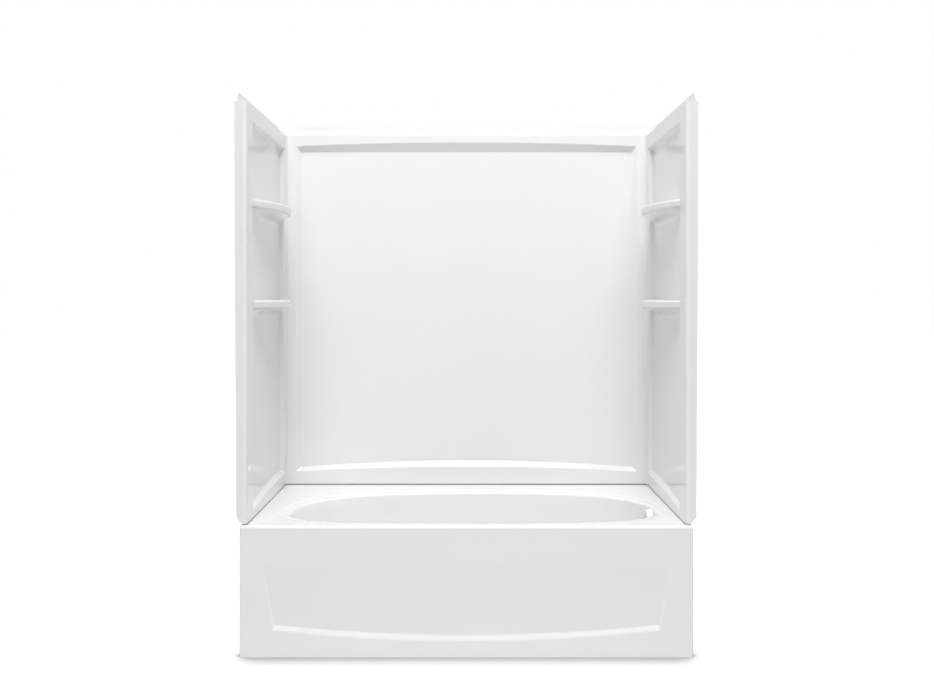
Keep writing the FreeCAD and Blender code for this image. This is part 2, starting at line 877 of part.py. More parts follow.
def drain_ring(radius, bore, low, high):
    """A ring on the drain's axis."""
    return pipe(radius, bore, at_drain(low), at_drain(high))


def drain_flange():
    """The strainer body: flange, threaded tube, cross arms and the hub that takes the stopper."""
    body = drain_ring(drain_flange_radius, drain_tube_bore, drain_under_z, drain_top_z)
    edge = [e for e in edges_on(body, "Z", drain_top_z) if e.BoundBox.XLength > 2 * drain_tube_radius]
    body = body.makeFillet(drain_flange_height - drain_edge_land, edge)
    tube = drain_ring(drain_tube_radius, drain_tube_bore, drain_tube_end, drain_under_z)
    arms = []
    reach = drain_tube_bore + (drain_tube_radius - drain_tube_bore) / 2
    half = arm_width / 2
    arm_top = hub_top_z
    arm_low = hub_top_z - arm_height
    low = (drain_x - reach, waste_y - half, arm_low)
    arms.append(box(low, (drain_x + reach, waste_y + half, arm_top)))
    low = (drain_x - half, waste_y - reach, arm_low)
    arms.append(box(low, (drain_x + half, waste_y + reach, arm_top)))
    arms.append(rod(hub_radius, at_drain(arm_low), at_drain(arm_top)))
    whole = joined([body, tube] + arms)
    low = at_drain(arm_low - overrun)
    return whole.cut(rod(post_thread_radius + thread_gap, low, at_drain(arm_top + arm_height)))


def drain_shoe():
    """The elbow under the floor, with its pipe towards the tee."""
    bottom = waste_axis_height - pipe_radius - shoe_floor_skin
    pipe_end = (tee_socket_x - seat_gap, waste_y, waste_axis_height)
    body = joined(
        [
            rod(shoe_radius, at_drain(bottom), at_drain(shoe_top_z)),
            rod(shoe_flange_radius, at_drain(shoe_top_z - shoe_flange_height), at_drain(shoe_top_z)),
            rod(pipe_radius, at_drain(waste_axis_height), pipe_end),
        ]
    )
    thread_foot = drain_tube_end - seat_gap
    bore = drain_tube_radius - slip_gap
    beyond = (tee_x, waste_y, waste_axis_height)
    return body.cut(
        [
            rod(drain_tube_radius + thread_gap, at_drain(thread_foot), at_drain(shoe_top_z + overrun)),
            rod(bore, at_drain(bottom + shoe_floor_skin), at_drain(thread_foot + slip_gap)),
            rod(pipe_bore, at_drain(waste_axis_height), beyond),
        ]
    )


def waste_tee():
    """The tee: a side port for the shoe's pipe, a top port for the overflow, a spigot below."""
    side_end = (tee_x - port_length, waste_y, waste_axis_height)
    side_seat = (tee_socket_x, waste_y, waste_axis_height)
    side_out = (tee_x - port_length - overrun, waste_y, waste_axis_height)
    top_end = waste_axis_height + port_length
    top_seat = top_end - port_socket_depth
    body = joined(
        [
            rod(port_radius, side_end, at_tee(waste_axis_height)),
            rod(port_radius, at_tee(waste_axis_height), at_tee(top_end)),
            rod(tee_radius, at_tee(waste_axis_height - tee_radius), at_tee(waste_axis_height + tee_radius)),
            rod(pipe_radius, at_tee(tee_spigot_end), at_tee(waste_axis_height)),
        ]
    )
    socket = pipe_radius + thread_gap
    return body.cut(
        [
            rod(pipe_bore, at_tee(tee_spigot_end - overrun), at_tee(top_end)),
            rod(socket, at_tee(top_seat), at_tee(top_end + overrun)),
            rod(pipe_bore, side_end, at_tee(waste_axis_height)),
            rod(socket, side_out, side_seat),
        ]
    )


def slip_nut(end, way):
    """A slip nut over a port that ends at end, with way pointing out of the port."""
    start = vector(*end)
    out = vector(*way)
    port_face = start + out * slip_washer_height
    top = port_face + out * nut_lip_height
    base = top - out * nut_height
    blank = Part.makeCylinder(nut_radius, nut_height, base, out)
    thread = Part.makeCylinder(port_radius + thread_gap, nut_height - nut_lip_height, base, out)
    lip = Part.makeCylinder(pipe_radius + slip_gap, nut_height, base, out)
    nut = blank.cut([thread, lip])
    side = vector(0, 1, 0)
    grips = []
    for turn in range(nut_sides):
        spoke = FreeCAD.Rotation(out, 360.0 * turn / nut_sides).multVec(side) * nut_radius
        grips.append(Part.makeCylinder(nut_grip_radius, nut_height, base + spoke, out))
    return nut.fuse(grips).cut([thread, lip]).removeSplitter()


def slip_washer(end, way):
    """The sealing washer between a port's end and its nut's lip."""
    start = vector(*end)
    out = vector(*way)
    ring = Part.makeCylinder(port_radius, slip_washer_height, start, out)
    return ring.cut(Part.makeCylinder(pipe_radius + thread_gap, slip_washer_height, start, out))


def overflow_point(x):
    return (x, waste_y, overflow_height)


def overflow_elbow():
    """The overflow head behind the basin's end, with its cross bar and the socket for the pipe."""
    face_x = overflow_gasket_x
    back_x = face_x + overflow_head_depth
    socket_end = overflow_height - elbow_socket_length
    body = joined(
        [
            rod(overflow_head_radius, overflow_point(face_x), overflow_point(back_x)),
            rod(elbow_socket_radius, at_tee(socket_end), at_tee(overflow_height)),
        ]
    )
    cavity_x = face_x + overflow_bar_depth
    socket_top = socket_end + elbow_socket_depth
    body = body.cut(
        [
            rod(overflow_head_radius - skin, overflow_point(cavity_x), overflow_point(back_x - skin)),
            rod(overflow_hole_radius, overflow_point(face_x - overrun), overflow_point(cavity_x)),
            rod(pipe_bore, at_tee(socket_end), at_tee(overflow_height)),
            rod(pipe_radius + thread_gap, at_tee(socket_end - overrun), at_tee(socket_top)),
        ]
    )
    half = overflow_bar_width / 2
    reach = overflow_hole_radius + skin / 2
    low = (face_x, waste_y - half, overflow_height - reach)
    bar = box(low, (cavity_x, waste_y + half, overflow_height + reach))
    near = overflow_point(face_x - overrun)
    screw_hole = rod(screw_radius + thread_gap, near, overflow_point(cavity_x + skin))
    return body.fuse(bar).cut(screw_hole)


def overflow_plate():
    """The round cover plate: domed edge, hollow back, weep slots and a hole for its screw."""
    front_x = overflow_pad_inner_x - plate_height
    plate = rod(plate_radius, overflow_point(front_x), overflow_point(overflow_pad_inner_x))
    plate = plate.makeFillet(plate_edge_radius, edges_on(plate, "X", front_x))
    back = overflow_point(overflow_pad_inner_x + overrun)
    cuts = [
        rod(plate_radius - skin, overflow_point(front_x + plate_skin), back),
        rod(screw_radius + slip_gap, overflow_point(front_x - overrun), back),
    ]
    for turn in range(plate_slot_count):
        degrees = (turn - (plate_slot_count - 1) / 2) * plate_slot_turn
        y = waste_y + plate_slot_circle * math.sin(math.radians(degrees))
        z = overflow_height - plate_slot_circle * math.cos(math.radians(degrees))
        cuts.append(rod(plate_slot_radius, (front_x - overrun, y, z), (overflow_pad_inner_x, y, z)))
    return plate.cut(cuts)


def overflow_screw():
    """The screw through the plate into the elbow's cross bar."""
    front_x = overflow_pad_inner_x - plate_height
    head_x = front_x - screw_head_height
    shank_end = overflow_gasket_x + overflow_bar_depth
    shank = rod(screw_radius, overflow_point(head_x), overflow_point(shank_end))
    head = rod(screw_head_radius, overflow_point(head_x), overflow_point(front_x))
    head = head.makeFillet(screw_head_height / 2, edges_on(head, "X", head_x))
    half = screw_slot_width / 2
    slot_x = head_x + screw_head_height / 2
    slot_low = (head_x - overrun, waste_y - screw_head_radius, overflow_height - half)
    slot = box(slot_low, (slot_x, waste_y + screw_head_radius, overflow_height + half))
    return joined([shank, head]).cut(slot)


def stopper_post():
    """The fixed centre tube that the stopper's plunger slides in."""
    body = rod(post_radius, at_drain(hub_top_z), at_drain(post_top_z))
    thread = rod(post_thread_radius, at_drain(hub_top_z - arm_height), at_drain(hub_top_z))
    bore = rod(plunger_radius + plunger_gap, at_drain(hub_top_z + post_floor), at_drain(post_top_z))
    return joined([body, thread]).cut(bore)


def stopper_spring():
    """The coil under the plunger, at its length with the stopper up."""
    foot = hub_top_z + post_floor + spring_wire_radius + plunger_gap
    height = spring_rest_length - 2 * (spring_wire_radius + plunger_gap)
    coil_radius = plunger_radius - spring_wire_radius - plunger_gap
    path = Part.makeHelix(height / spring_turns, height, coil_radius)
    path.translate(vector(*at_drain(foot)))
    start = vector(drain_x + coil_radius, waste_y, foot)
    section = Part.Wire(Part.makeCircle(spring_wire_radius, start, vector(0, 1, 0)))
    return Part.Wire(path.Edges).makePipeShell([section], True, True)


def stopper_cap():
    """The push cap with its boss and plunger, in the open position."""
    disc = rod(cap_radius, at_drain(cap_under_z), at_drain(cap_under_z + cap_height))
    disc = disc.makeFillet(cap_edge_radius, edges_on(disc, "Z", cap_under_z + cap_height))
    boss = rod(cap_boss_radius, at_drain(boss_low_z), at_drain(cap_under_z))
    plunger_foot = hub_top_z + post_floor + spring_rest_length
    plunger = rod(plunger_radius, at_drain(plunger_foot), at_drain(cap_under_z))
    return joined([disc, boss, plunger])


# The supports under the bath
def base_board():
    """The board bonded under the basin floor, with holes for the brace screws."""
    low = (board_left_x, board_front_y, board_under_z)
    board = box(low, (board_right_x, board_rear_y, floor_under_z))
    holes = []
    for x, y in brace_screw_places():
        top = board_under_z + brace_screw_length
        holes.append(rod(brace_screw_radius + thread_gap, (x, y, board_under_z), (x, y, top)))
    return board.cut(holes)


def support_foot(x, y):
    """A moulded foot: pad, hollow column and top plate."""
    half = foot_plate / 2
    plate_low = board_under_z - foot_plate_height
    plate = box((x - half, y - half, plate_low), (x + half, y + half, board_under_z))
    pad = rod(foot_pad_radius, (x, y, 0), (x, y, foot_pad_height))
    column = rod(foot_column_radius, (x, y, foot_pad_height), (x, y, plate_low))
    hollow = rod(foot_column_bore, (x, y, 0), (x, y, plate_low))
    return joined([plate, pad, column]).cut(hollow)


def brace_places():
    """Where the two apron braces stand along X."""
    return (board_left_x + foot_inset + foot_plate, board_right_x - foot_inset - foot_plate)


def brace_screw_places():
    y = board_front_y + brace_overlap / 2
    half = brace_screw_spacing / 2
    return [(x + side * half, y) for x in brace_places() for side in (-1, 1)]


def apron_brace(x):
    """A strap from the apron's lip up and back to the board's underside."""
    half = brace_width / 2
    lip_front_y = front_y + skin + seat_gap
    riser_y = front_y + apron_lip_depth
    arm_end = board_front_y + brace_overlap
    pieces = [
        box((x - half, lip_front_y, skin), (x + half, riser_y + brace_skin, skin + brace_skin)),
        box((x - half, riser_y, skin), (x + half, riser_y + brace_skin, board_under_z)),
        box((x - half, riser_y, board_under_z - brace_skin), (x + half, arm_end, board_under_z)),
    ]
    holes = []
    for screw_x, y in brace_screw_places():
        low = (screw_x, y, board_under_z - brace_skin)
        holes.append(rod(brace_screw_radius + slip_gap, low, (screw_x, y, board_under_z + overrun)))
    return joined(pieces).cut(holes)


def brace_screws():
    """The screws that hold the braces to the board."""
    screws = []
    for x, y in brace_screw_places():
        seat = board_under_z - brace_skin
        head_z = seat - brace_screw_head_height
        head = rod(brace_screw_head_radius, (x, y, head_z), (x, y, seat))
        head = head.makeFillet(brace_screw_head_height / 2, edges_on(head, "Z", head_z))
        shank = rod(brace_screw_radius, (x, y, seat), (x, y, board_under_z + brace_screw_length - seat_gap))
        screws.append(joined([head, shank]))
    return Part.makeCompound(screws)


os.makedirs("parts", exist_ok=True)
write("bath_shell", bath_shell())
write("back_wall", back_wall())
left_wall = end_wall_left()
write("left_end_wall", left_wall)
write("right_end_wall", mirrored(left_wall))
write("back_seal", back_seal())
write("left_seal", end_seal())
write("right_seal", mirrored(end_seal()))
write("left_corner_clips", corner_clips())
write("right_corner_clips", mirrored(corner_clips()))

write("drain_flange", drain_flange())
write("putty_ring", drain_ring(putty_radius, drain_hole_radius, drain_under_z - putty_height, drain_under_z))
write("drain_gasket", drain_ring(shoe_flange_radius, drain_hole_radius, shoe_top_z, floor_under_z))
write("drain_shoe", drain_shoe())
write("waste_tee", waste_tee())
side_port = ((tee_x - port_length, waste_y, waste_axis_height), (-1, 0, 0))
top_port = (at_tee(waste_axis_height + port_length), (0, 0, 1))
write("tee_side_nut", slip_nut(*side_port))
write("tee_side_washer", slip_washer(*side_port))
write("tee_top_nut", slip_nut(*top_port))
write("tee_top_washer", slip_washer(*top_port))
overflow_pipe_low = waste_axis_height + port_length - port_socket_depth + seat_gap
overflow_pipe_high = overflow_height - elbow_socket_length + elbow_socket_depth - seat_gap
write("overflow_pipe", pipe(pipe_radius, pipe_bore, at_tee(overflow_pipe_low), at_tee(overflow_pipe_high)))
write("overflow_elbow", overflow_elbow())
gasket_ends = (overflow_point(overflow_pad_outer_x), overflow_point(overflow_gasket_x))
write("overflow_gasket", pipe(overflow_head_radius, overflow_hole_radius, *gasket_ends))
write("overflow_plate", overflow_plate())
write("overflow_screw", overflow_screw())

write("stopper_post", stopper_post())
write("stopper_spring", stopper_spring())
write("stopper_cap", stopper_cap())
seal_foot_z = cap_under_z - stopper_seal_height
write("stopper_seal", drain_ring(stopper_seal_radius, cap_boss_radius, seal_foot_z, cap_under_z))

write("base_board", base_board())
for row, y in (("front", board_front_y + foot_inset), ("rear", board_rear_y - foot_inset)):
    for side, x in (("left", board_left_x + foot_inset), ("right", board_right_x - foot_inset)):
        write("foot_" + row + "_" + side, support_foot(x, y))
for side, x in zip(("left", "right"), brace_places()):
    write("apron_brace_" + side, apron_brace(x))
write("brace_screws", brace_screws())
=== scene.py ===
import json
import math

import bmesh
import bpy
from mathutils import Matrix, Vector

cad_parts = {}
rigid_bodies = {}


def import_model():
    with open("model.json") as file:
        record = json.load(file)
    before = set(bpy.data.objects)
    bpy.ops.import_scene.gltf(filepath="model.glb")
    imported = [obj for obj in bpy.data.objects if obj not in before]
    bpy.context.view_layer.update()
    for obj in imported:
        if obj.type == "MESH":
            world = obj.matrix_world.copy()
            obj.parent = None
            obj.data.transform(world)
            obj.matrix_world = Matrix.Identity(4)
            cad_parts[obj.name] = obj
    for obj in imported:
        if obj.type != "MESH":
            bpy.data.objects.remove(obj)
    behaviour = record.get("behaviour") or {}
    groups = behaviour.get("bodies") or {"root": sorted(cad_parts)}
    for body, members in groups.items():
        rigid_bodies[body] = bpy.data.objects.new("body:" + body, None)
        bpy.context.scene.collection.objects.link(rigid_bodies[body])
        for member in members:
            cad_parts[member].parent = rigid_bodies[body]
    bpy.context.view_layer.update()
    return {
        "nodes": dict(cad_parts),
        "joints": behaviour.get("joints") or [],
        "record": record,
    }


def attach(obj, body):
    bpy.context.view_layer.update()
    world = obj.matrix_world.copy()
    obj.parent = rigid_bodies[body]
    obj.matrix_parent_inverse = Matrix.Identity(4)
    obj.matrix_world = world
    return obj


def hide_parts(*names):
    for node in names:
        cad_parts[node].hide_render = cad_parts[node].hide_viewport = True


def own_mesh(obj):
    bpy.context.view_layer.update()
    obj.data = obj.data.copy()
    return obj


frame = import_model()
nodes = frame["nodes"]

# Lengths and places are in metres, in the part's own frame
MILLIMETRE = 0.001

# The camera that the photograph was taken with
CAMERA_PLACE = (0.0, -3.5685, 1.2146)
CAMERA_TILT = math.radians(90.0)
CAMERA_LENS = 36.6
CAMERA_SENSOR = 36.0
CAMERA_SHIFT = (0.0007, -0.0567)

# Light from all round, and the lamps: each one's place, target, width, height and watts
ROOM_LIGHT = 0.26
BACKGROUND_WHITE = 1.0
OVERHEAD_LAMP = ((0.0, -1.2, 4.6), (0.0, -1.2, 0.0), 1.2, 1.2, 83.0)
FRONT_LAMP = ((0.0, -7.0, 11.0), (0.0, 0.0, 0.8), 7.0, 4.0, 765.0)
FILL_LAMP = ((0.0, -4.0, 0.5), (0.0, 0.0, 0.6), 3.0, 0.6, 7.0)

# The floor's white glow, and the painted contact shadow in it: ambient occlusion, not a lamp, dims the glow
# as less of the sky is open to it
FLOOR_HALF = 30.0
PAINTED_SHADOW_REACH = 0.15
PAINTED_SHADOW_RAYS = 16
OPEN_SKY_SHARES = (0.5, 0.98)
PAINTED_SHADOW_WHITE = 0.12

# Nearly all of a noise texture's values lie between these
NOISE_SPAN = (0.3, 0.7)

# How far a wave texture turns in one unit of its scale
WAVE_RADIANS = 20.0

# Where the bath's and the walls' finished faces end and their raw backs begin
SHELL_HALF_WIDTH = 0.7575
SHELL_FRONT_Y = -0.3640
SHELL_UNDER_Z = 0.4365
APRON_REAR_Y = -0.335
COLUMN_REAR_Y = -0.338

# How far a face looks back, or down, where its raw back starts to show and where it is all raw
BACK_FACING = (0.15, 0.35)
APRON_BACK_FACING = (0.1, 0.3)
UNDERSIDE_FACING = (-0.02, -0.08)


def linear(code):
    """An sRGB hex colour as linear red, green, blue and a full alpha."""
    values = [int(code[place : place + 2], 16) / 255 for place in (0, 2, 4)]
    return [v / 12.92 if v <= 0.04045 else ((v + 0.055) / 1.055) ** 2.4 for v in values] + [1.0]


def per_metre(millimetres):
    """A texture scale whose features are this many millimetres apart."""
    return 1.0 / (millimetres * MILLIMETRE)


def add(tree, kind, sockets, **options):
    """Adds one node. sockets gives its inputs in order or by name, as values or as nodes to link from."""
    node = tree.nodes.new("ShaderNode" + kind)
    for name, value in options.items():
        setattr(node, name, value)
    inputs = [socket for socket in node.inputs if socket.enabled]
    if isinstance(sockets, dict):
        by_name = {socket.name: socket for socket in inputs}
        pairs = [(by_name[name], value) for name, value in sockets.items()]
    else:
        pairs = list(zip(inputs, sockets))
    for socket, value in pairs:
        if isinstance(value, bpy.types.Node):
            value = next(output for output in value.outputs if output.enabled)
        if isinstance(value, bpy.types.NodeSocket):
            tree.links.new(value, socket)
        else:
            socket.default_value = value
    return node


def new_material(name):
    """An empty node material, and the place on the piece in metres."""
    material = bpy.data.materials.new(name)
    material.use_nodes = True
    tree = material.node_tree
    tree.nodes.clear()
    return material, tree, add(tree, "TexCoord", []).outputs["Object"]


def raw_back_of_wall(tree, place, facing):
    """One where the back wall faces away from the shower."""
    return add(tree, "MapRange", [facing["Y"], *BACK_FACING, 0.0, 1.0])


def raw_back_of_end_wall(side):
    """The same for an end wall. side is the way it faces out: -1 for the left one, 1 for the right."""

    def share(tree, place, facing):
        outward = add(tree, "Math", [facing["X"], side], operation="MULTIPLY")
        outward = add(tree, "MapRange", [outward, *BACK_FACING, 0.0, 1.0])
        along = add(tree, "SeparateXYZ", [place]).outputs["Y"]
        behind = add(tree, "MapRange", [along, COLUMN_REAR_Y, COLUMN_REAR_Y + MILLIMETRE, 0.0, 1.0])
        return add(tree, "Math", [outward, behind], operation="MULTIPLY")

    return share


def raw_back_of_bath(tree, place, facing):
    """One inside the bath's outer skin, where a face looks down or is the apron's own back."""
    along = add(tree, "SeparateXYZ", [place]).outputs
    across = add(tree, "Math", [along["X"]], operation="ABSOLUTE")
    inside = add(tree, "Math", [across, SHELL_HALF_WIDTH], operation="LESS_THAN")
    behind_front = add(tree, "Math", [along["Y"], SHELL_FRONT_Y], operation="GREATER_THAN")
    inside = add(tree, "Math", [inside, behind_front], operation="MULTIPLY")
    under_deck = add(tree, "Math", [along["Z"], SHELL_UNDER_Z], operation="LESS_THAN")
    inside = add(tree, "Math", [inside, under_deck], operation="MULTIPLY")
    rearward = add(tree, "Math", [along["Y"], APRON_REAR_Y], operation="GREATER_THAN")
    apron_back = add(tree, "MapRange", [facing["Y"], *APRON_BACK_FACING, 0.0, 1.0])
    underside = add(tree, "MapRange", [facing["Z"], *UNDERSIDE_FACING, 0.0, 1.0])
    hidden = add(tree, "Mix", [rearward, apron_back, underside])
    return add(tree, "Math", [inside, hidden], operation="MULTIPLY")


def moulded_acrylic(name, raw_back):
    """Acrylic sheet drawn over a mould, with glass fibre laid up behind it.

    The face is white with a wet gloss, and its long faint waves bend what it reflects. The back is dull,
    cream and grey, with matted strands in it and runs of resin. The strands are drawn 4 mm thick, coarser
    than real ones, so that they show.
    """
    material, tree, place = new_material(name)
    normal = add(tree, "TexCoord", []).outputs["Normal"]
    raw = raw_back(tree, place, add(tree, "SeparateXYZ", [normal]).outputs)

    drift = add(tree, "TexNoise", [place, per_metre(400.0)])
    face_tint = add(tree, "Mix", [drift, linear("E5E6E6"), linear("E9E9E8")], data_type="RGBA")
    polish = add(tree, "TexNoise", [place, per_metre(90.0)])
    face_rough = add(tree, "MapRange", [polish, *NOISE_SPAN, 0.06, 0.11])
    waves = add(tree, "TexNoise", [place, per_metre(260.0), 1.0])
    waves = add(tree, "Bump", {"Height": waves, "Strength": 1.0, "Distance": 0.7 * MILLIMETRE})
    ripples = add(tree, "TexNoise", [place, per_metre(9.0), 1.0])
    ripples = add(
        tree, "Bump", {"Height": ripples, "Strength": 1.0, "Distance": 0.012 * MILLIMETRE, "Normal": waves}
    )
    gloss = {"Base Color": face_tint, "Roughness": face_rough, "IOR": 1.49, "Normal": ripples}
    face = add(tree, "BsdfPrincipled", gloss)

    strands = 0.0
    for stretch in ((0.12, 1.0, 1.0), (1.0, 1.0, 0.12), (1.0, 0.12, 1.0)):
        lie = add(tree, "Mapping", {"Vector": place, "Scale": stretch})
        bundle = add(tree, "TexNoise", [lie, per_metre(4.0), 3.0])
        strands = add(tree, "Math", [bundle, strands], operation="MAXIMUM")
    strands = add(tree, "MapRange", [strands, 0.5, 0.75, 0.0, 1.0])
    resin = add(tree, "TexNoise", [place, per_metre(55.0), 4.0, 0.6])
    resin = add(tree, "MapRange", [resin, 0.35, 0.65, 0.0, 1.0])
    back_tint = add(tree, "Mix", [resin, linear("B9B8A6"), linear("CFCDBE")], data_type="RGBA")
    pale = add(tree, "Math", [strands, 0.5], operation="MULTIPLY")
    back_tint = add(tree, "Mix", [pale, back_tint, linear("DEDDD3")], data_type="RGBA")
    back_rough = add(tree, "MapRange", [resin, 0.0, 1.0, 0.55, 0.36])
    runs = add(tree, "Bump", {"Height": resin, "Strength": 1.0, "Distance": 1.5 * MILLIMETRE})
    fibres = add(
        tree, "Bump", {"Height": strands, "Strength": 1.0, "Distance": 0.5 * MILLIMETRE, "Normal": runs}
    )
    layup = {"Base Color": back_tint, "Roughness": back_rough, "IOR": 1.52, "Normal": fibres}
    back = add(tree, "BsdfPrincipled", layup)

    add(tree, "OutputMaterial", [add(tree, "MixShader", [raw, face, back])])
    return material


def silicone_sealant():
    """Grey silicone run into the joint and drawn smooth: satin, with the ripples of the tool along it."""
    material, tree, place = new_material("tooled_silicone")
    shade = add(tree, "TexNoise", [place, per_metre(25.0)])
    tint = add(tree, "Mix", [shade, linear("66676A"), linear("747578")], data_type="RGBA")
    smears = add(tree, "TexNoise", [place, per_metre(8.0)])
    rough = add(tree, "MapRange", [smears, *NOISE_SPAN, 0.32, 0.46])
    ripples = add(tree, "TexNoise", [place, per_metre(6.0), 1.0])
    ripples = add(tree, "Bump", {"Height": ripples, "Strength": 1.0, "Distance": 0.15 * MILLIMETRE})
    rubber = {"Base Color": tint, "Roughness": rough, "IOR": 1.41, "Normal": ripples}
    add(tree, "OutputMaterial", [add(tree, "BsdfPrincipled", rubber)])
    return material


def spring_steel():
    """Blued spring strip, sheared and bent: dark grey, with rolling lines along it and a faint oil film."""
    material, tree, place = new_material("rolled_spring_steel")
    oil = add(tree, "TexNoise", [place, per_metre(10.0)])
    tint = add(tree, "Mix", [oil, linear("6F7378"), linear("8A8D91")], data_type="RGBA")
    lie = add(tree, "Mapping", {"Vector": place, "Scale": (0.05, 0.05, 1.0)})
    lines = add(tree, "TexNoise", [lie, per_metre(0.5), 3.0])
    rough = add(tree, "MapRange", [lines, *NOISE_SPAN, 0.24, 0.42])
    rolled = add(tree, "Bump", {"Height": lines, "Strength": 1.0, "Distance": 0.02 * MILLIMETRE})
    steel = {"Base Color": tint, "Metallic": 1.0, "Roughness": rough, "Normal": rolled}
    add(tree, "OutputMaterial", [add(tree, "BsdfPrincipled", steel)])
    return material


def baked_enamel():
    """Powder coat baked on brass: white, softly glossy, with the faint pebbled skin of powder."""
    material, tree, place = new_material("baked_white_powder_coat")
    shade = add(tree, "TexNoise", [place, per_metre(30.0)])
    tint = add(tree, "Mix", [shade, linear("EFEFEC"), linear("F3F3F1")], data_type="RGBA")
    wiped = add(tree, "TexNoise", [place, per_metre(7.0)])
    rough = add(tree, "MapRange", [wiped, *NOISE_SPAN, 0.16, 0.25])
    pebbles = add(tree, "TexNoise", [place, per_metre(1.6), 1.0])
    pebbles = add(tree, "Bump", {"Height": pebbles, "Strength": 1.0, "Distance": 0.02 * MILLIMETRE})
    coat = {
        "Base Color": tint,
        "Roughness": rough,
        "IOR": 1.5,
        "Coat Weight": 0.4,
        "Coat Roughness": 0.08,
        "Normal": pebbles,
    }
    add(tree, "OutputMaterial", [add(tree, "BsdfPrincipled", coat)])
    return material


def stainless_steel():
    """Stainless bar, turned and rolled: bright, with fine tool lines across it."""
    material, tree, place = new_material("turned_stainless_steel")
    shade = add(tree, "TexNoise", [place, per_metre(3.0)])
    tint = add(tree, "Mix", [shade, linear("B7B8BA"), linear("C9C9CB")], data_type="RGBA")
    lie = add(tree, "Mapping", {"Vector": place, "Scale": (1.0, 0.1, 0.1)})
    lines = add(tree, "TexNoise", [lie, per_metre(0.3)])
    rough = add(tree, "MapRange", [lines, *NOISE_SPAN, 0.18, 0.32])
    turned = add(tree, "Bump", {"Height": lines, "Strength": 1.0, "Distance": 0.01 * MILLIMETRE})
    steel = {"Base Color": tint, "Metallic": 1.0, "Roughness": rough, "Normal": turned}
    add(tree, "OutputMaterial", [add(tree, "BsdfPrincipled", steel)])
    return material


def moulded_rubber():
    """Nitrile rubber pressed in a mould: near black, matt, with a grey bloom in patches."""
    material, tree, place = new_material("pressed_nitrile_rubber")
    bloom = add(tree, "TexNoise", [place, per_metre(14.0), 4.0, 0.6])
    bloom = add(tree, "MapRange", [bloom, 0.45, 0.75, 0.0, 1.0])
    tint = add(tree, "Mix", [bloom, linear("19191A"), linear("2E2F31")], data_type="RGBA")
    rough = add(tree, "MapRange", [bloom, 0.0, 1.0, 0.48, 0.72])
    grain = add(tree, "TexNoise", [place, per_metre(0.9)])
    grain = add(tree, "Bump", {"Height": grain, "Strength": 1.0, "Distance": 0.04 * MILLIMETRE})
    rubber = {"Base Color": tint, "Roughness": rough, "IOR": 1.52, "Normal": grain}
    add(tree, "OutputMaterial", [add(tree, "BsdfPrincipled", rubber)])
    return material


def plumbers_putty():
    """Putty rolled by hand and squeezed flat: buff, oily in places, lumpy, with cracks at its edge."""
    material, tree, place = new_material("hand_rolled_putty")
    lumps = add(tree, "TexNoise", [place, per_metre(5.0), 3.0, 0.6])
    tint = add(tree, "Mix", [lumps, linear("9E947C"), linear("B8AF98")], data_type="RGBA")
    rough = add(tree, "MapRange", [lumps, *NOISE_SPAN, 0.45, 0.75])
    cracks = add(tree, "TexVoronoi", {"Vector": place, "Scale": per_metre(6.0)}, feature="DISTANCE_TO_EDGE")
    cracks = add(tree, "MapRange", [cracks, 0.0, 0.08, 0.0, 1.0])
    broken = add(tree, "Bump", {"Height": cracks, "Strength": 1.0, "Distance": 0.15 * MILLIMETRE})
    pressed = add(
        tree, "Bump", {"Height": lumps, "Strength": 1.0, "Distance": 0.4 * MILLIMETRE, "Normal": broken}
    )
    putty = {"Base Color": tint, "Roughness": rough, "Normal": pressed}
    add(tree, "OutputMaterial", [add(tree, "BsdfPrincipled", putty)])
    return material


def drainage_plastic():
    """White PVC, extruded and moulded: satin, a little cream, with draw lines and scuffs from handling."""
    material, tree, place = new_material("drainage_pvc")
    shade = add(tree, "TexNoise", [place, per_metre(60.0)])
    tint = add(tree, "Mix", [shade, linear("E7E7E0"), linear("EDEDE8")], data_type="RGBA")
    scuffs = add(tree, "TexNoise", [place, per_metre(18.0), 5.0, 0.65])
    scuffs = add(tree, "MapRange", [scuffs, 0.55, 0.7, 0.0, 1.0])
    worn = add(tree, "Math", [scuffs, 0.35], operation="MULTIPLY")
    tint = add(tree, "Mix", [worn, tint, linear("D3D3CB")], data_type="RGBA")
    rough = add(tree, "MapRange", [scuffs, 0.0, 1.0, 0.28, 0.5])
    lie = add(tree, "Mapping", {"Vector": place, "Scale": (0.08, 1.0, 0.08)})
    lines = add(tree, "TexNoise", [lie, per_metre(1.2)])
    drawn = add(tree, "Bump", {"Height": lines, "Strength": 1.0, "Distance": 0.03 * MILLIMETRE})
    plastic = {"Base Color": tint, "Roughness": rough, "IOR": 1.53, "Normal": drawn}
    add(tree, "OutputMaterial", [add(tree, "BsdfPrincipled", plastic)])
    return material


def nut_plastic():
    """Polypropylene, injection moulded: bluish white, waxy, with the fine spark grain of its mould."""
    material, tree, place = new_material("moulded_polypropylene")
    shade = add(tree, "TexNoise", [place, per_metre(22.0)])
    tint = add(tree, "Mix", [shade, linear("DCDEDF"), linear("E4E6E6")], data_type="RGBA")
    grain = add(tree, "TexNoise", [place, per_metre(1.2)])
    rough = add(tree, "MapRange", [grain, *NOISE_SPAN, 0.36, 0.5])
    grain = add(tree, "Bump", {"Height": grain, "Strength": 1.0, "Distance": 0.04 * MILLIMETRE})
    plastic = {
        "Base Color": tint,
        "Roughness": rough,
        "IOR": 1.49,
        "Subsurface Weight": 0.15,
        "Subsurface Scale": 0.002,
        "Normal": grain,
    }
    add(tree, "OutputMaterial", [add(tree, "BsdfPrincipled", plastic)])
    return material


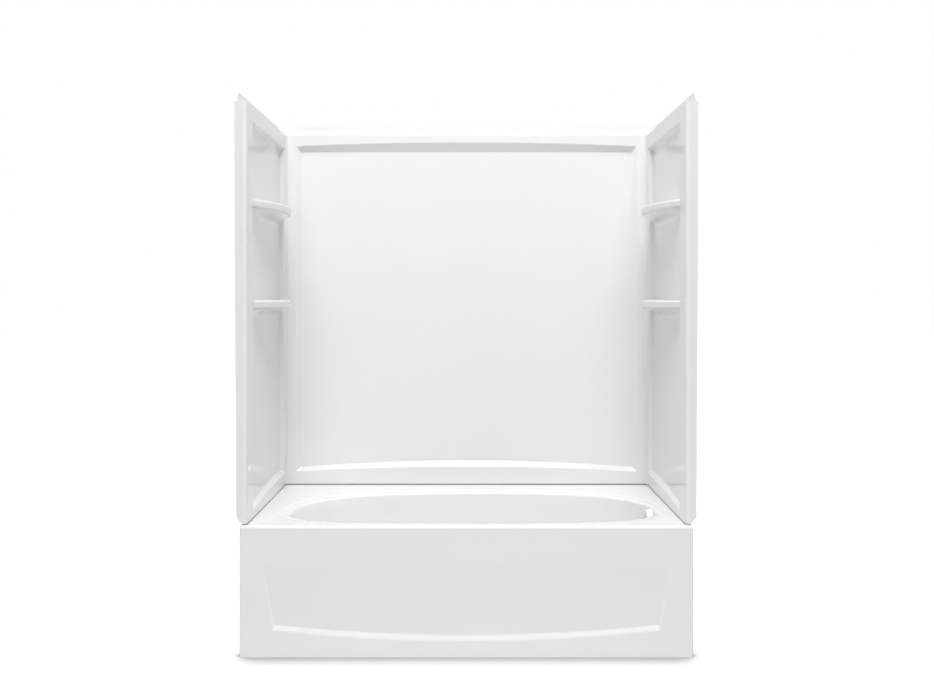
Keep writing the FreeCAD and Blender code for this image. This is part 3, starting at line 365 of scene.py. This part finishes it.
def washer_plastic():
    """Natural polyethylene, moulded soft: milky, so light soaks in at its edges."""
    material, tree, place = new_material("natural_polyethylene")
    shade = add(tree, "TexNoise", [place, per_metre(12.0)])
    tint = add(tree, "Mix", [shade, linear("CBD3D9"), linear("D6DCE0")], data_type="RGBA")
    rubbed = add(tree, "TexNoise", [place, per_metre(3.0)])
    rough = add(tree, "MapRange", [rubbed, *NOISE_SPAN, 0.3, 0.42])
    sinks = add(tree, "TexNoise", [place, per_metre(2.5)])
    sinks = add(tree, "Bump", {"Height": sinks, "Strength": 1.0, "Distance": 0.03 * MILLIMETRE})
    plastic = {
        "Base Color": tint,
        "Roughness": rough,
        "IOR": 1.51,
        "Subsurface Weight": 0.5,
        "Subsurface Scale": 0.004,
        "Normal": sinks,
    }
    add(tree, "OutputMaterial", [add(tree, "BsdfPrincipled", plastic)])
    return material


def birch_plywood():
    """Plywood sawn to size: pale grain along its faces, and its edges show the plies, light and dark."""
    material, tree, place = new_material("sawn_birch_plywood")
    normal = add(tree, "TexCoord", []).outputs["Normal"]
    upward = add(tree, "SeparateXYZ", [normal]).outputs["Z"]
    upward = add(tree, "Math", [upward], operation="ABSOLUTE")
    edge = add(tree, "MapRange", [upward, 0.6, 0.3, 0.0, 1.0])
    lie = add(tree, "Mapping", {"Vector": place, "Scale": (0.06, 1.0, 1.0)})
    grain = add(tree, "TexNoise", [lie, per_metre(7.0), 5.0, 0.6])
    bands = add(tree, "MapRange", [grain, 0.35, 0.65, 0.0, 1.0])
    face_tint = add(tree, "Mix", [bands, linear("B58E5F"), linear("CDAA7C")], data_type="RGBA")
    # Plies are glued with their grain crossed, so every other one shows its dark end grain. They are drawn
    # 4 mm thick, coarser than real ones, so that they show: a light and a dark one take 8 mm.
    pairs = {
        "Vector": place,
        "Scale": per_metre(8.0) * math.tau / WAVE_RADIANS,
        "Distortion": 0.6,
        "Detail": 2.0,
    }
    plies = add(tree, "TexWave", pairs, bands_direction="Z").outputs["Fac"]
    plies = add(tree, "MapRange", [plies, 0.35, 0.65, 0.0, 1.0])
    edge_tint = add(tree, "Mix", [plies, linear("7E5A38"), linear("C5A274")], data_type="RGBA")
    tint = add(tree, "Mix", [edge, face_tint, edge_tint], data_type="RGBA")
    rough = add(tree, "MapRange", [grain, *NOISE_SPAN, 0.55, 0.75])
    lie = add(tree, "Mapping", {"Vector": place, "Scale": (0.04, 1.0, 1.0)})
    pores = add(tree, "TexNoise", [lie, per_metre(1.5)])
    pores = add(tree, "Bump", {"Height": pores, "Strength": 1.0, "Distance": 0.12 * MILLIMETRE})
    wood = {"Base Color": tint, "Roughness": rough, "Normal": pores}
    add(tree, "OutputMaterial", [add(tree, "BsdfPrincipled", wood)])
    return material


def foot_plastic():
    """Black glass-filled polypropylene, moulded: matt, with grey flow marks and a spark-eroded grain."""
    material, tree, place = new_material("glass_filled_polypropylene")
    lie = add(tree, "Mapping", {"Vector": place, "Scale": (1.0, 1.0, 0.3)})
    flow = add(tree, "TexNoise", [lie, per_metre(16.0), 4.0, 0.6])
    flow = add(tree, "MapRange", [flow, 0.45, 0.7, 0.0, 1.0])
    tint = add(tree, "Mix", [flow, linear("242528"), linear("36373A")], data_type="RGBA")
    rough = add(tree, "MapRange", [flow, 0.0, 1.0, 0.46, 0.62])
    grain = add(tree, "TexNoise", [place, per_metre(1.4)])
    grain = add(tree, "Bump", {"Height": grain, "Strength": 1.0, "Distance": 0.06 * MILLIMETRE})
    plastic = {"Base Color": tint, "Roughness": rough, "IOR": 1.49, "Normal": grain}
    add(tree, "OutputMaterial", [add(tree, "BsdfPrincipled", plastic)])
    return material


def galvanised_strip():
    """Steel strip dipped in zinc: dull silver, broken up into flat crystals of light and dark grey."""
    material, tree, place = new_material("hot_dipped_zinc")
    crystals = add(tree, "TexVoronoi", {"Vector": place, "Scale": per_metre(9.0)}, feature="F1")
    shade = add(tree, "SeparateXYZ", [crystals.outputs["Color"]]).outputs
    tint = add(tree, "Mix", [shade["X"], linear("979A9D"), linear("B7BABC")], data_type="RGBA")
    rough = add(tree, "MapRange", [shade["Y"], 0.0, 1.0, 0.3, 0.55])
    frost = add(tree, "TexNoise", [place, per_metre(1.5), 3.0])
    frost = add(tree, "Bump", {"Height": frost, "Strength": 1.0, "Distance": 0.02 * MILLIMETRE})
    zinc = {"Base Color": tint, "Metallic": 1.0, "Roughness": rough, "Normal": frost}
    add(tree, "OutputMaterial", [add(tree, "BsdfPrincipled", zinc)])
    return material


def dress_pieces():
    """Gives each moulding its own acrylic, and every other piece the finish of its slot."""
    acrylic = {
        "bath_shell": moulded_acrylic("bath_acrylic", raw_back_of_bath),
        "back_wall": moulded_acrylic("back_wall_acrylic", raw_back_of_wall),
        "left_end_wall": moulded_acrylic("left_wall_acrylic", raw_back_of_end_wall(-1.0)),
        "right_end_wall": moulded_acrylic("right_wall_acrylic", raw_back_of_end_wall(1.0)),
    }
    finishes = {
        "dark_seal": silicone_sealant(),
        "clip_steel": spring_steel(),
        "white_enamel": baked_enamel(),
        "screw_steel": stainless_steel(),
        "rubber": moulded_rubber(),
        "putty": plumbers_putty(),
        "pipe_plastic": drainage_plastic(),
        "nut_plastic": nut_plastic(),
        "washer_plastic": washer_plastic(),
        "board_wood": birch_plywood(),
        "foot_plastic": foot_plastic(),
        "galvanised_steel": galvanised_strip(),
    }
    for entry in frame["record"]["subparts"]:
        node = nodes[entry["node"]]
        finish = acrylic.get(entry["node"]) or finishes[entry["material_slot"]]
        node.data.materials.clear()
        node.data.materials.append(finish)


def stopper_lifting_spring():
    """The coil under the stopper: a copy of the spring's mesh, carried by the stopper joint's parent, shown
    in place of the part's own.
    """
    joint = frame["joints"][0]
    spring = bpy.data.objects.new("stopper_lifting_spring", nodes["stopper_spring"].data.copy())
    bpy.context.scene.collection.objects.link(spring)
    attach(spring, joint["parent"])
    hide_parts("stopper_spring")
    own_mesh(spring)


def seen_rays(tree):
    """One for rays that show the background: the camera's, and those by way of gloss or glass."""
    rays = add(tree, "LightPath", []).outputs
    seen = add(tree, "Math", [rays["Is Camera Ray"], rays["Is Glossy Ray"]], operation="MAXIMUM")
    return add(tree, "Math", [seen, rays["Is Transmission Ray"]], operation="MAXIMUM")


def stage_floor():
    """A white floor that keeps the object's real shadow, with a painted contact shadow, darkest where the
    apron meets it.
    """
    mesh = bpy.data.meshes.new("floor")
    shape = bmesh.new()
    bmesh.ops.create_grid(shape, x_segments=1, y_segments=1, size=FLOOR_HALF)
    shape.to_mesh(mesh)
    shape.free()
    floor = bpy.data.objects.new("floor", mesh)
    bpy.context.scene.collection.objects.link(floor)
    material, tree, place = new_material("matt_white_paper")
    seen = seen_rays(tree)
    near = {"Distance": PAINTED_SHADOW_REACH}
    # Painted contact shadow: the floor's glow is dimmed by ambient occlusion near the object, not by any
    # lamp
    open_sky = add(tree, "AmbientOcclusion", near, samples=PAINTED_SHADOW_RAYS).outputs["AO"]
    glow_with_painted_shadow = add(tree, "MapRange", [open_sky, *OPEN_SKY_SHARES, PAINTED_SHADOW_WHITE, BACKGROUND_WHITE])
    glow_with_painted_shadow = add(tree, "Math", [glow_with_painted_shadow, seen], operation="MULTIPLY")
    tint = add(tree, "Mix", [seen, linear("E6E6E6"), linear("8A8A8A")], data_type="RGBA")
    paper = {
        "Base Color": tint,
        "Roughness": 1.0,
        "Specular IOR Level": 0.0,
        "Emission Color": linear("FFFFFF"),
        "Emission Strength": glow_with_painted_shadow,
    }
    add(tree, "OutputMaterial", [add(tree, "BsdfPrincipled", paper)])
    mesh.materials.append(material)


def lamp(name, place, target, width, height, power):
    """A soft rectangular lamp aimed at a point, with its power in watts."""
    light = bpy.data.lights.new(name, "AREA")
    light.shape = "RECTANGLE"
    light.size = width
    light.size_y = height
    light.energy = power
    holder = bpy.data.objects.new(name, light)
    holder.location = place
    aim = Vector(target) - Vector(place)
    holder.rotation_euler = aim.to_track_quat("-Z", "Y").to_euler()
    bpy.context.scene.collection.objects.link(holder)
    return holder


def studio():
    """A white room: a little light from all round, and broad lamps above, in front and low down."""
    world = bpy.data.worlds.new("studio")
    world.use_nodes = True
    tree = world.node_tree
    tree.nodes.clear()
    strength = add(tree, "MapRange", [seen_rays(tree), 0.0, 1.0, ROOM_LIGHT, BACKGROUND_WHITE])
    sky = add(tree, "Background", [linear("FFFFFF"), strength])
    add(tree, "OutputWorld", [sky])
    bpy.context.scene.world = world
    lamp("overhead", *OVERHEAD_LAMP)
    lamp("front", *FRONT_LAMP)
    # The low fill lights the upright faces, and is kept out of their gloss
    lamp("fill", *FILL_LAMP).visible_glossy = False


def camera():
    """The camera, level, and shifted as the photograph is framed."""
    lens = bpy.data.cameras.new("camera")
    lens.lens = CAMERA_LENS
    lens.sensor_width = CAMERA_SENSOR
    lens.shift_x = CAMERA_SHIFT[0]
    lens.shift_y = CAMERA_SHIFT[1]
    holder = bpy.data.objects.new("camera", lens)
    holder.location = CAMERA_PLACE
    holder.rotation_euler = (CAMERA_TILT, 0.0, 0.0)
    bpy.context.scene.collection.objects.link(holder)
    bpy.context.scene.camera = holder


dress_pieces()
stopper_lifting_spring()
stage_floor()
studio()
camera()
bpy.context.scene.view_settings.view_transform = "Standard"
